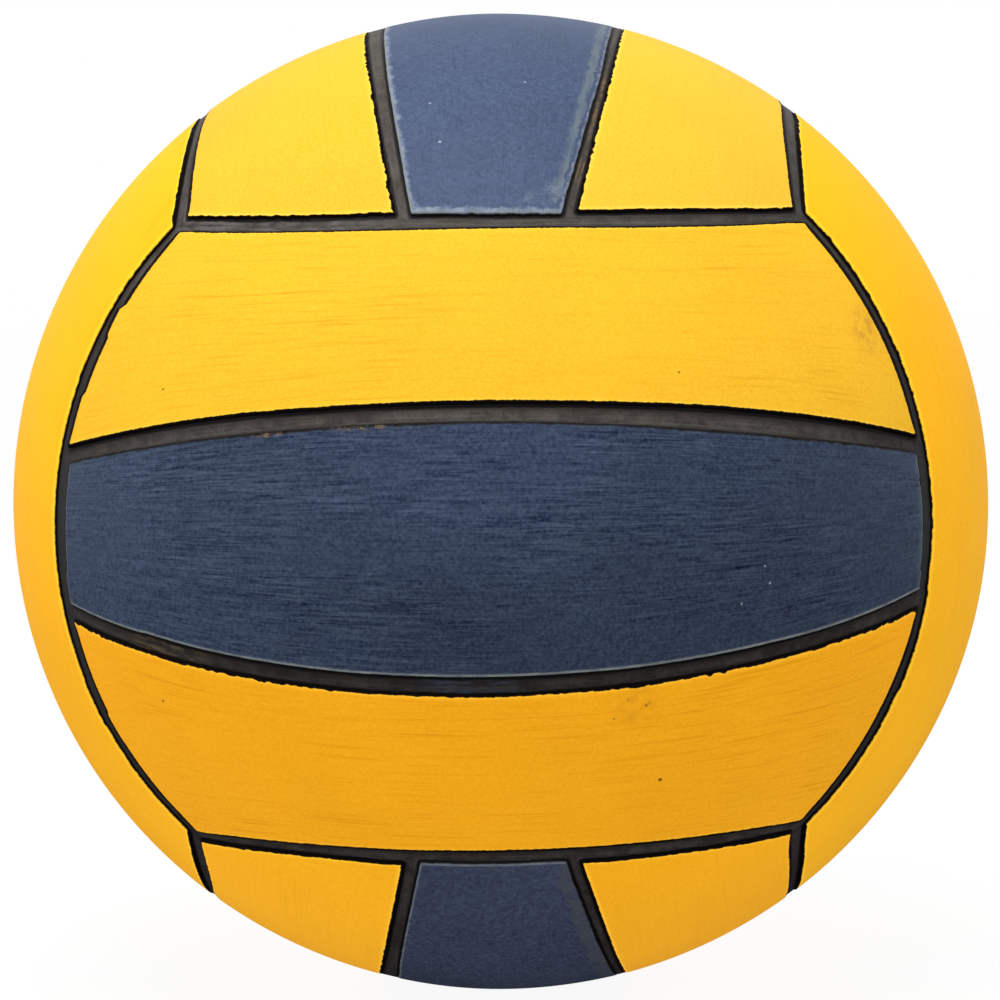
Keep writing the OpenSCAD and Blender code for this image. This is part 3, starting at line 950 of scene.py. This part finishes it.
def black_rubber(name, base=(0.018, 0.017, 0.016)):
    p = Paint(name)
    at = p.place()
    fine = p.noise(p.stretch(at, (3.0, 3.0, 3.0)), 1.0, 3.0, 0.6)
    broad = p.noise(p.stretch(at, (0.4, 0.4, 0.4)), 1.0, 2.0, 0.6)
    rings = p.noise(p.vector(p.times(p.attr("row"), 5.0), p.times(p.attr("run"), 5.0)), 1.0, 1.0, 0.5)
    tone = p.plus(p.span(fine, 0.3, 0.7, (0.8, 1.2)), p.span(broad, 0.3, 0.7, (-0.15, 0.25)))
    colour = p.scale_colour(p.mix(0.0, base, base), tone)
    height = p.plus(fine, p.times(rings, 0.6))
    return p.done(colour, p.span(fine, 0.3, 0.7, (0.42, 0.58)), height, 0.02, 0.4)


def wound_thread():
    p = Paint("wound_thread")
    at = p.place()

    def lay(axis, pitch):
        c = p.node("ShaderNodeVectorMath", {0: at, 1: axis}, operation="DOT_PRODUCT").outputs["Value"]
        wob = p.noise(p.stretch(at, (0.05, 0.05, 0.05), axis), 1.0, 2.0, 0.5)
        return p.math("ABSOLUTE", p.math("SINE", p.times(p.plus(c, p.times(wob, 6.0)), math.pi / pitch)))

    a, b, c = lay((0.80, 0.53, 0.28), 0.8), lay((-0.35, 0.85, 0.39), 0.8), lay((0.25, -0.45, 0.86), 0.8)
    over = p.math("MAXIMUM", a, p.math("MAXIMUM", b, c))
    fuzz = p.noise(p.stretch(at, (2.5, 2.5, 2.5)), 1.0, 3.0, 0.7)
    colour = p.mix(p.step(over, 0.45, 1.0), (0.20, 0.17, 0.13), (0.66, 0.62, 0.52))
    colour = p.scale_colour(colour, p.span(fuzz, 0.3, 0.7, (0.88, 1.1)))
    return p.done(colour, p.span(fuzz, 0.3, 0.7, (0.6, 0.8)), over, 0.12, 0.3, sheen=0.15)


def butyl():
    p = Paint("butyl_rubber_skin")
    at = p.place()
    fine = p.noise(p.stretch(at, (1.4, 1.4, 1.4)), 1.0, 3.0, 0.6)
    broad = p.noise(p.stretch(at, (0.06, 0.06, 0.06)), 1.0, 3.0, 0.6)
    colour = p.mix(p.step(broad, 0.3, 0.7), (0.010, 0.010, 0.011), (0.028, 0.027, 0.027))
    colour = p.scale_colour(colour, p.span(fine, 0.3, 0.7, (0.85, 1.2)))
    return p.done(colour, p.span(broad, 0.3, 0.7, (0.30, 0.5)), fine, 0.02, 0.45)


# ---------------------------------------------------------------- the pieces

PITCH = {"front": 0.36, "top": 0.38, "bottom": 0.40, "left": 0.42, "right": 0.42, "back": 0.55}

# corners: A is the group's -side and B its +side (in a mirrored strip A is the inner side), L and R its ends
CORNERS = {
    "front": {"AL": 0.35, "AR": 0.35, "BL": 1.6, "BR": 1.2},
    "left": {"AL": 0.4, "AR": 0.4, "BL": 1.2, "BR": 1.4},
    "right": {"AL": 0.4, "AR": 0.4, "BL": 1.4, "BR": 1.0},
    "top": {"AL": 0.35, "AR": 0.3, "BL": 0.8, "BR": 0.6},
    "bottom": {"AL": 0.35, "AR": 0.35, "BL": 0.6, "BR": 0.8},
    "back": {"AL": 0.4, "AR": 0.4, "BL": 1.6, "BR": 1.8},
}

# how each side is trimmed: (depth mm, step mm, sharpness)
TORN, NICKED, WAVY, PLAIN = (0.55, 1.0, 2.8), (0.36, 1.2, 2.4), (0.18, 1.9, 1.4), (0.05, 2.6, 1.0)
TRIM = {
    "front_centre_panel": dict(A=PLAIN, B=NICKED, L=WAVY, R=NICKED),
    "front_upper_panel": dict(A=WAVY, B=PLAIN, L=NICKED, R=NICKED),
    "front_lower_panel": dict(A=TORN, B=WAVY, L=NICKED, R=NICKED),
    "top_centre_panel": dict(A=PLAIN, B=WAVY, L=WAVY, R=NICKED),
    "top_left_panel": dict(A=TORN, B=NICKED, L=WAVY, R=TORN),
    "top_right_panel": dict(A=TORN, B=NICKED, L=WAVY, R=TORN),
    "bottom_centre_panel": dict(A=PLAIN, B=WAVY, L=WAVY, R=WAVY),
    "bottom_left_panel": dict(A=NICKED, B=NICKED, L=TORN, R=WAVY),
    "bottom_right_panel": dict(A=WAVY, B=WAVY, L=NICKED, R=WAVY),
    "left_front_panel": dict(A=WAVY, B=NICKED, L=WAVY, R=TORN),
    "right_front_panel": dict(A=WAVY, B=TORN, L=TORN, R=NICKED),
}
ANY = [dict(A=NICKED, B=WAVY, L=TORN, R=WAVY), dict(A=WAVY, B=TORN, L=NICKED, R=NICKED), dict(A=PLAIN, B=NICKED, L=WAVY, R=TORN)]

# width in mm of the unbuffed border of a blue panel, by side
BORDER = {
    "top_centre_panel": dict(A=0.95, B=0.2, L=1.15, R=1.4),
    "bottom_centre_panel": dict(A=0.4, B=2.9, L=0.5, R=0.6),
    "front_centre_panel": dict(A=0.5, B=-0.6, L=0.5, R=1.8),
}
# strength of the painted highlight, a light line on a blue panel's rim, by side
LINES = {
    "top_centre_panel": dict(A=0.9, B=0.1, L=0.4, R=0.7),
    "bottom_centre_panel": dict(A=0.35, B=0.0, L=0.4, R=0.3),
    "front_centre_panel": dict(A=1.0, B=0.0, L=0.4, R=0.3),
}
# how the moulded sides stray from their true lines: the range of the position along the side that the
# curve holds for, and its coefficients in mm. Positive makes the panel smaller.
WARP = {
    "front_centre_panel": {"A": ((-0.96, 0.97), [-0.35, 0.66, 0.66, -0.33, -0.21]),
        "B": ((-0.97, 0.97), [-0.1, 0.66, 1.26, -0.77, -1.8]),
        "L": ((-0.37, 0.37), [-0.12, 0.86, -0.7]),
        "R": ((-0.37, 0.37), [-0.11, 0.06, 1.07])},
    "front_upper_panel": {"A": ((-0.96, 0.96), [0.36, 0.18, 0.6, -0.12, -0.67]),
        "B": ((-0.69, 0.69), [0.25, 0.05, 2.61, -0.53, -7.05]),
        "L": ((-0.56, 0.74), [0.19, 0.37, -0.15]),
        "R": ((-0.59, 0.74), [-0.82, -0.51, -0.09])},
    "front_lower_panel": {"A": ((-0.96, 0.96), [0.33, -0.69, -1.53, 0.18, 1.55]),
        "B": ((-0.69, 0.69), [-0.26, 0.54, 3.68, 1.67, -7.85]),
        "L": ((-0.59, 0.74), [-0.73, 0.66, 0.77]),
        "R": ((-0.59, 0.74), [0.32, 1.38, -0.58])},
    "top_centre_panel": {"A": ((0.26, 0.97), [0.17, 1.08, -1.77]),
        "B": ((0.4, 0.96), [-0.28, -7.23, 6.3]),
        "R": ((-0.36, 0.32), [-0.64, -0.49, 0.52])},
    "top_left_panel": {"A": ((0.26, 0.96), [0.26, -1.75, 1.28]),
        "B": ((0.29, 0.69), [-0.34, -4.13, 7.23]),
        "R": ((-0.59, 0.74), [-0.56, 0.11, 1.06])},
    "top_right_panel": {"A": ((0.24, 0.96), [0.61, 0.38, -0.76]),
        "B": ((0.25, 0.69), [-4.26, 15.26, -14.11]),
        "R": ((-0.59, 0.74), [0, 0.01, -0.13])},
    "bottom_centre_panel": {"A": ((-0.96, -0.46), [0.81, 1.83, 0.46]),
        "B": ((-0.96, -0.54), [-0.06, 4.45, 3.88]),
        "L": ((-0.37, 0.38), [0.44, -0.21, -1.6])},
    "bottom_left_panel": {"A": ((-0.96, -0.46), [1.56, 4.89, 3.51]),
        "B": ((-0.69, -0.45), [-13.18, -42.06, -33.72]),
        "L": ((-0.59, 0.74), [0.18, -0.4, 1.17])},
    "bottom_right_panel": {"A": ((-0.96, -0.44), [-1.65, -4.89, -3.65]),
        "B": ((-0.69, -0.42), [0.54, 8.76, 13.34]),
        "L": ((-0.59, 0.74), [0.03, -1.11, -0.14])},
    "left_front_panel": {"B": ((-0.69, 0.69), [1.52, -1.28, -1.19, 2.3, -4.95]),
        "L": ((0.07, 0.72), [0.4, -0.31]),
        "R": ((-0.46, 0.72), [0.18, -0.61, 0.91])},
    "right_front_panel": {"B": ((-0.69, 0.69), [0.33, -0.21, -1.46, -3.24, 1.29]),
        "L": ((-0.59, 0.72), [0.67, -1.25, 0.71]),
        "R": ((-0.08, 0.72), [0.14, -0.91])},
}

# steps in a side: (side, from, to, mm at the start, mm at the end)
JOGS = {
    "front_upper_panel": [("L", 0.08, 0.30, -0.8, -1.5), ("L", -0.95, -0.35, -0.9, -0.9)],
    "front_lower_panel": [("L", -0.02, 0.20, -0.8, -0.6), ("L", 0.20, 0.95, -0.3, -0.15)],
    "front_centre_panel": [("L", -0.70, -0.30, -0.6, -0.6), ("R", -0.70, -0.35, -0.5, -0.5),
                           ("A", -1.1, -0.80, -1.1, -0.2)],
    "left_front_panel": [("B", -0.47, -0.36, 0.6, 0.6)],
    "right_front_panel": [("B", 0.16, 0.40, 0.7, 0.6)],
}

# width in mm of the painted shade, a near-black band on a panel's rim and wall, by side
WALL_SHADE = {
    "front_centre_panel": dict(A=-0.2, B=0.45),
    "front_upper_panel": dict(A=0.5, B=0.5, L=1.5, R=1.5),
    "front_lower_panel": dict(A=0.25, B=0.5, L=1.2, R=1.3),
    "top_left_panel": dict(A=0.3, B=0.75, L=0.2, R=0.15),
    "top_right_panel": dict(A=0.3, B=0.75, L=0.2, R=0.15),
    "bottom_left_panel": dict(A=0.25, B=0.45, L=0.25, R=0.2),
    "bottom_right_panel": dict(A=0.15, B=0.45, L=0.25, R=0.2),
    "left_front_panel": dict(A=0.2, B=-0.2, L=0.2, R=0.2),
    "right_front_panel": dict(A=0.2, B=-0.15, L=0.2, R=0.2),
}

# per-panel looks: base colour, the strength of the brushed lines, and small marks. The base colours differ partly as
# painted light: the upper panels carry more blue, a less saturated yellow standing in for their highlight, and the
# bottom panels are lifted against the shade below them
YELLOW = {
    "top_left_panel": dict(base=(0.80, 0.396, 0.027), streak=0.25),
    "top_right_panel": dict(base=(0.80, 0.406, 0.031), streak=0.25),
    "front_upper_panel": dict(base=(0.75, 0.408, 0.022), streak=0.62, groove=(0.78, 0.72, 0.55),
                              spots=[((-64.9, -83.4, 30.5), 0.28, 0.8), ((37.7, -97.8, 33.3), 0.25, 0.7)],
                              smears=[((76.7, -67.8, 40.1), 4.5, 0.8)],
                              brushed=[((-39.0, -96.0, 37.0), 24.0, 1.0), ((56.0, -88.0, 33.0), 22.0, 0.2)]),
    "front_lower_panel": dict(base=(0.81, 0.357, 0.009), streak=0.8,
                              spots=[((-66.7, -81.1, -32.8), 0.3, 0.8), ((33.5, -93.4, -47.5), 0.4, 0.95),
                                     ((24.4, -101.8, -33.9), 0.25, 0.6), ((27.2, -102.3, -30.1), 0.3, 0.4),
                                     ((30.7, -100.8, -31.4), 0.4, 0.6),
                                     ((31.3, -100.7, -31.0), 0.3, 0.4)],
                              smears=[((29.0, -101.3, -31.3), 4.0, 0.5)],
                              brushed=[((60.0, -84.0, -36.0), 22.0, 0.6)]),
    "left_front_panel": dict(base=(0.885, 0.418, 0.010), streak=0.4),
    "right_front_panel": dict(base=(0.865, 0.418, 0.009), streak=0.4),
    "bottom_left_panel": dict(base=(0.875, 0.402, 0.010), streak=0.35),
    "bottom_right_panel": dict(base=(0.85, 0.385, 0.009), streak=0.35),
}
# the blue base colours differ partly as painted light: the top panel's lighter blue stands in for its sheen, and the
# bottom panel's is lifted against the shade below
BLUE = {
    "top_centre_panel": dict(base=(0.0385, 0.060, 0.118), lines_w=0.3, edge_light=0.9, dusty=(0.205, 0.24, 0.305), torn=0.9, soft=0.7,
                             grains=(1.05, 0.7), depth=0.6,
                             line=(0.17, 0.19, 0.17),
                             spots=[((-9.1, -75.9, 79.1), 0.28, 0.9), ((-11.5, -65.9, 87.3), 0.25, 0.8),
                                    ((7.8, -60.4, 91.6), 0.25, 0.7)],
                             stripes=[(-0.6, 0.35, (0.14, 0.14, 0.18), 0.8), (0.5, 0.95, (0.026, 0.040, 0.082), 0.85),
                                      (1.2, 2.9, (0.105, 0.135, 0.15), 0.75)],
                             dusted=[((14.6, -84.6, 68.8), 2.2, 0.5), ((9.5, -87.0, 66.6), 2.4, 0.25)]),
    "front_centre_panel": dict(base=(0.0243, 0.0376, 0.0722), lines_w=1.0, dusty=(0.075, 0.092, 0.105),
                               line=(0.165, 0.185, 0.190), wide=0.85, depth=1.12,
                               spots=[((55.3, -94.7, -8.4), 0.25, 0.7), ((54.3, -95.5, -4.9), 0.22, 0.6),
                                      ((49.6, -97.4, -12.1), 0.22, 0.6)],
                               residue=[((-42.1, -99.1, 22.5), 3.0, 0.9), ((-23.9, -104.6, 24.4), 5.5, 0.9)],
                               brushed=[((2.0, -107.0, 23.0), 30.0, 0.3), ((-50.0, -96.0, 18.0), 24.0, 0.5)],
                               paler=[((-76.0, -79.0, 3.0), 26.0, 0.16), ((-2.0, -107.5, 22.5), 26.0, 0.1),
                                      ((57.0, -92.0, -14.0), 34.0, -0.13),
                                      ((-56.0, -93.0, 13.0), 16.0, -0.09), ((-1.0, -107.9, -21.0), 20.0, -0.13),
                                      ((80.0, -75.0, 14.0), 16.0, 0.04)]),
    "bottom_centre_panel": dict(base=(0.0315, 0.043, 0.083), lines_w=0.25, edge_light=0.9, dusty=(0.052, 0.058, 0.072),
                                torn=1.5, soft=0.5, grains=(1.0, 0.68), depth=0.7,
                                residue=[((20.5, -52.0, -95.0), 3.0, 0.5)]),
}

OUTLINES = []
seed = 0
for group in TURN:
    low, high = NAMES[group]
    for part, kind, side in (("centre", "centre", 1), (high, "outer", 1), (low, "outer", -1)):
        seed += 1
        node = f"{group}_{part}_panel"
        pitch = PITCH[group] * 1.0
        radii = dict(CORNERS[group])
        if kind == "centre":
            radii.update(BL=0.5, BR=0.5)
        wall_shade = WALL_SHADE.get(node, {} if kind == "centre" else dict(A=0.25, B=0.2, L=0.2, R=0.2))
        outline = Outline(kind, side, TILT[group], WARP.get(node, {}), radii, JOGS.get(node, ()),
                          {} if kind == "centre" else {k: 0.8 * v for k, v in wall_shade.items()})
        OUTLINES.append((TURN[group], side, outline))
        if node.endswith("_back_panel"):
            pitch *= 1.3
        ob = panel_mesh("Cover_" + node, group, pitch, outline,
                        TRIM.get(node, ANY[seed % 3]), BORDER.get(node, dict(A=0.4, B=0.6, L=1.2, R=0.8)),
                        LINES.get(node, dict(A=0.5, B=0.2, L=0.4, R=0.4)), wall_shade,
                        low=0.28 if kind == "centre" and group in ("left", "right") else 0.0,
                        hole=5.55 if node == "right_centre_panel" else None, seed=seed)
        if kind == "centre":
            ob.data.materials.append(blue_rubber("blue_" + node, seed, **BLUE.get(node, {})))
        else:
            ob.data.materials.append(yellow_rubber("yellow_" + node, seed, **YELLOW.get(node, {})))
        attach(ob, "ball")
        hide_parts(node)

layer = channel_mesh(OUTLINES)
layer.data.materials.append(channel_rubber())
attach(layer, "ball")
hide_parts("channel_layer")

seat_in = [(r, on_ball(106.1, r)) for r in (5.2, 7, 9, 11, 13, 15)]
seat_out = [(r, on_ball(107.1, r)) for r in (15.2, 13, 11, 9, 7, 5.9)]
seat = [(1.3, 86.0, 0.15), (4.0, 86.0, 0.2), (4.8, 86.8, 0.25), (4.8, on_ball(106.1, 4.8), 0.2)]
seat += [(r, x, 0) for r, x in seat_in] + [(16, on_ball(106.1, 16), 0.25), (16, on_ball(107.1, 16), 0.25)]
seat += [(r, x, 0) for r, x in seat_out] + [(5.5, on_ball(107.1, 5.5), 0.15), (5.5, on_ball(109.85, 5.5), 0.3)]
seat += [(r, on_ball(109.85, r), 0) for r in (5.05, 4.6, 4.2)]
seat += [(3.6, on_ball(109.85, 3.6), 0.22), (3.6, 107.5, 0.12), (2.6, 107.5, 0.2), (2.6, 87.6, 0.3), (1.3, 87.6, 0.1)]
seat_ob = turned("Valve_seat_rubber", rounded_profile(seat, True), True)
seat_ob.data.materials.append(black_rubber("seat_rubber", (0.020, 0.019, 0.018)))
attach(seat_ob, "ball")
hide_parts("valve_seat")

plug = [(0, 87.65, 0), (1.85, 87.65, 0.3), (2.55, 88.85, 0.4), (2.55, 107.55, 0.15), (3.55, 107.55, 0.15)]
plug += [(3.55, 109.1, 0.3), (3.2, 109.45, 0.3), (1.8, 109.45, 0.2), (1.0, 108.65, 0.3), (1.0, 92.75, 0.25), (0, 92.45, 0)]
plug_ob = turned("Valve_plug_rubber", rounded_profile(plug, False), False, 96)
plug_ob.data.materials.append(black_rubber("plug_rubber_skin", (0.024, 0.023, 0.023)))
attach(plug_ob, "plug")
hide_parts("valve_plug")


def repaint(node, mat):
    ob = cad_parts[node]
    for s in ob.material_slots:
        s.material = mat


repaint("thread_winding", wound_thread())
repaint("bladder", butyl())

# ---------------------------------------------------------------- floor, light and camera

floor_mesh = bpy.data.meshes.new("Floor")
n = 96
ring = [(6 * math.cos(2 * math.pi * k / n), 6 * math.sin(2 * math.pi * k / n), -0.1101) for k in range(n)]
floor_mesh.from_pydata(ring, [], [list(range(n))])
floor = bpy.data.objects.new("Floor", floor_mesh)
bpy.context.scene.collection.objects.link(floor)
p = Paint("pale_floor")
wide = p.noise(p.stretch(p.place(), (0.02, 0.02, 0.02)), 1.0, 2.0, 0.5)
diffuse = p.node("ShaderNodeBsdfDiffuse", {"Color": p.mix(wide, (0.055, 0.055, 0.055), (0.065, 0.065, 0.065))})
glow = p.node("ShaderNodeEmission", {"Color": (1, 1, 1, 1), "Strength": 0.93})
both = p.node("ShaderNodeAddShader", {0: diffuse.outputs[0], 1: glow.outputs[0]})
out = p.node("ShaderNodeOutputMaterial", {0: both.outputs[0]})
floor_mesh.materials.append(p.mat)
floor.visible_glossy = False                 # the rubber mirrors the dark lower half of the studio instead

scene = bpy.context.scene
world = bpy.data.worlds.new("Studio")
scene.world = world
world.use_nodes = True
back = world.node_tree.nodes["Background"]
back.inputs["Strength"].default_value = 1.0
# white above the floor line, dark below it
where = world.node_tree.nodes.new("ShaderNodeTexCoord").outputs["Generated"]
split = world.node_tree.nodes.new("ShaderNodeSeparateXYZ")
fade = world.node_tree.nodes.new("ShaderNodeMapRange")
fade.interpolation_type = "SMOOTHSTEP"
fade.inputs["From Min"].default_value, fade.inputs["From Max"].default_value = -0.30, -0.03
world.node_tree.links.new(where, split.inputs[0])
world.node_tree.links.new(split.outputs[2], fade.inputs["Value"])
world.node_tree.links.new(fade.outputs[0], back.inputs["Color"])


def area_light(name, place, target, size, power, colour=(1, 1, 1)):
    data = bpy.data.lights.new(name, "AREA")
    data.shape = "DISK"
    data.size, data.energy, data.color = size, power, colour
    ob = bpy.data.objects.new(name, data)
    ob.location = place
    ob.rotation_euler = (Vector(target) - Vector(place)).to_track_quat("-Z", "Y").to_euler()
    scene.collection.objects.link(ob)
    return ob


area_light("Key", (-0.13, -0.35, 1.14), (0, 0, 0), 0.75, 11.4)
area_light("Fill", (-1.25, -0.72, 0.22), (0, 0, 0), 0.5, 1.8)

# the camera looks from just above the ball's middle, a little to the right of its front
D, ROLL = 6.081 * R * MM, math.radians(-0.760)
d = Vector((math.sin(YAW) * math.cos(EL), -math.cos(YAW) * math.cos(EL), math.sin(EL)))
right = (-d).cross(Vector((0, 0, 1))).normalized()
up = right.cross(-d)
cr = right * math.cos(ROLL) + up * math.sin(ROLL)
cu = -right * math.sin(ROLL) + up * math.cos(ROLL)
cam_data = bpy.data.cameras.new("Camera")
cam_data.lens, cam_data.sensor_width = 105.354, 36.0
cam_data.shift_x, cam_data.shift_y = -0.00114, 0.00126
cam_data.clip_start, cam_data.clip_end = 0.01, 50
cam = bpy.data.objects.new("Camera", cam_data)
scene.collection.objects.link(cam)
cam.matrix_world = Matrix(((cr.x, cu.x, d.x, d.x * D), (cr.y, cu.y, d.y, d.y * D), (cr.z, cu.z, d.z, d.z * D), (0, 0, 0, 1)))
scene.camera = cam

scene.view_settings.view_transform = "Standard"
